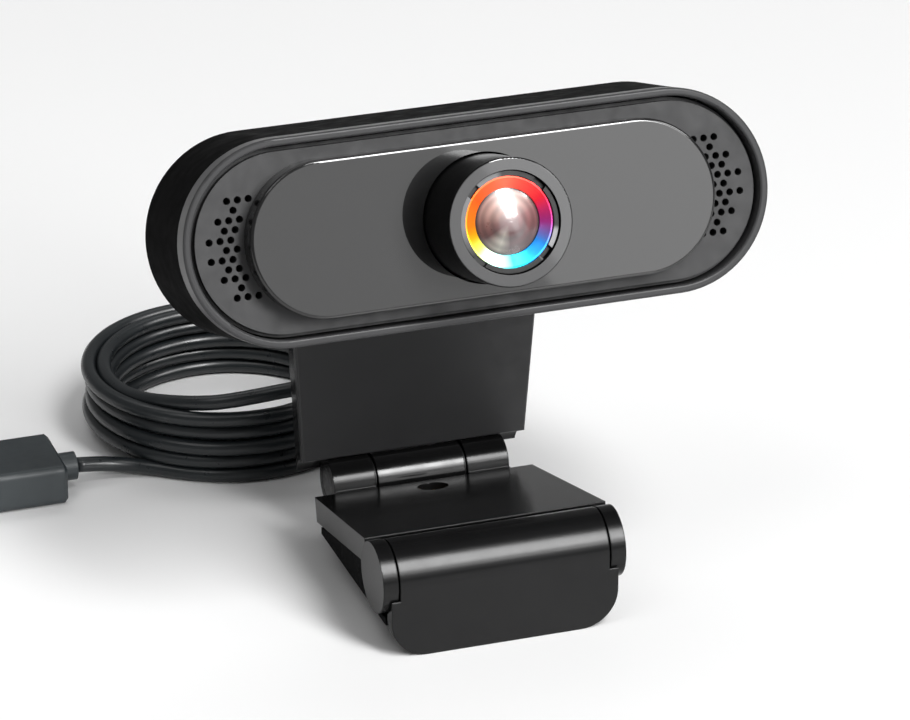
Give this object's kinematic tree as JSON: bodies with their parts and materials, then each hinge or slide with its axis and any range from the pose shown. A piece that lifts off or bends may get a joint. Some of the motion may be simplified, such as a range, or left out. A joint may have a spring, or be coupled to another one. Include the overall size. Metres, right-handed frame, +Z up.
{
  "type": "webcam with monitor clip",
  "caption": "Capsule-shaped webcam on a folding monitor clip, with a focus ring, hinged neck, lip and rear leg, and a coiled USB cable.",
  "frame": {"origin": "middle of the box of the webcam without its cable, on the table it stands on", "axes": "+X along the head to the right as seen from the front, +Y from the lens to the back, +Z up"},
  "size_m": [0.1333, 0.1207, 0.0837],
  "materials": {
    "shell_gloss": "polished black ABS",
    "rim_satin": "satin grey painted ABS",
    "panel_matte": "fine matte dark grey ABS",
    "fascia_gloss": "glossy grey acrylic",
    "ring_gloss": "polished black with a satin grey front",
    "cell_black": "black moulded",
    "coated_ring": "mirror-like multicolour coating",
    "lens_glass": "coated glass, pinkish brown",
    "filter_glass": "blue-green filter glass",
    "sensor_chip": "dark chip package",
    "board": "green solder mask",
    "chip_black": "black chip packages",
    "header_white": "white nylon",
    "steel": "plain steel",
    "pin_black": "blackened steel",
    "insert_brass": "turned brass",
    "mic_metal": "drawn can",
    "boot_rubber": "soft black rubber",
    "felt": "black dust felt",
    "clip_gloss": "polished black ABS",
    "leg_plastic": "black ABS",
    "neck_matte": "fine matte dark grey ABS",
    "neck_gloss": "polished black ABS",
    "grip_rubber": "grippy black rubber",
    "cable_jacket": "dark slate PVC jacket",
    "plug_plastic": "dark slate moulded PVC",
    "plug_steel": "nickel-plated sheet",
    "plug_core": "white insulator",
    "contact_gold": "gold-plated contacts"
  },
  "bodies": {
    "base": {"top_plate": "clip_gloss", "plate_cover": "clip_gloss", "plate_screws": "steel", "thread_insert": "insert_brass", "neck_pin": "pin_black", "neck_washers": "cell_black", "lip_pin": "steel", "leg_pin": "steel", "cable_drop": "cable_jacket", "cable_coil": "cable_jacket", "cable_lead": "cable_jacket", "plug_overmold": "plug_plastic", "plug_shell": "plug_steel", "plug_tongue": "plug_core", "plug_contacts": "contact_gold"},
    "neck": {"neck_cover": "neck_matte", "neck_frame": "neck_gloss", "neck_screws": "steel"},
    "head": {"rear_shell": "shell_gloss", "front_bezel": "rim_satin", "front_panel": "panel_matte", "fascia": "fascia_gloss", "lens_holder": "cell_black", "tilt_washers": "cell_black", "ir_filter": "filter_glass", "image_sensor": "sensor_chip", "main_board": "board", "board_parts": "chip_black", "usb_header": "header_white", "board_screws": "steel", "case_screws": "steel", "bracket_screws": "steel", "tilt_pin": "pin_black", "mic_left": "mic_metal", "mic_right": "mic_metal", "mic_boots": "boot_rubber", "mic_felts": "felt", "tilt_bracket": "clip_gloss", "inner_lead": "cable_jacket", "strain_relief": "cable_jacket"},
    "focus": {"focus_ring": "ring_gloss", "lens_barrel": "cell_black", "lens_retainer": "coated_ring", "front_lens": "lens_glass", "lens_spacer": "cell_black", "aperture_ring": "cell_black", "rear_lens": "lens_glass"},
    "lip": {"lip": "clip_gloss", "lip_pad": "grip_rubber"},
    "leg": {"rear_leg": "leg_plastic", "leg_pad": "grip_rubber"}
  },
  "joints": [
    {"name": "neck_hinge", "type": "hinge", "parent": "base", "child": "neck", "pos_m": [0, 0.0228, 0.0091], "axis": [1, 0, 0], "range_deg": [-25, 25], "deforming": ["cable_drop"]},
    {"name": "head_tilt", "type": "hinge", "parent": "neck", "child": "head", "pos_m": [0, 0.02317, 0.05687], "axis": [1, 0, 0], "range_deg": [-15, 20]},
    {"name": "lip_hinge", "type": "hinge", "parent": "base", "child": "lip", "pos_m": [0, -0.01704, 0.01202], "axis": [1, 0, 0], "range_deg": [-90, 0]},
    {"name": "leg_hinge", "type": "hinge", "parent": "base", "child": "leg", "pos_m": [0, 0.0197, 0.0025], "axis": [1, 0, 0], "range_deg": [0, 110]},
    {"name": "focus_turn", "type": "hinge", "parent": "head", "child": "focus", "pos_m": [0, -0.0104, 0.0684], "axis": [0, -0.9457, 0.3249], "range_deg": [-135, 135]}
  ]
}
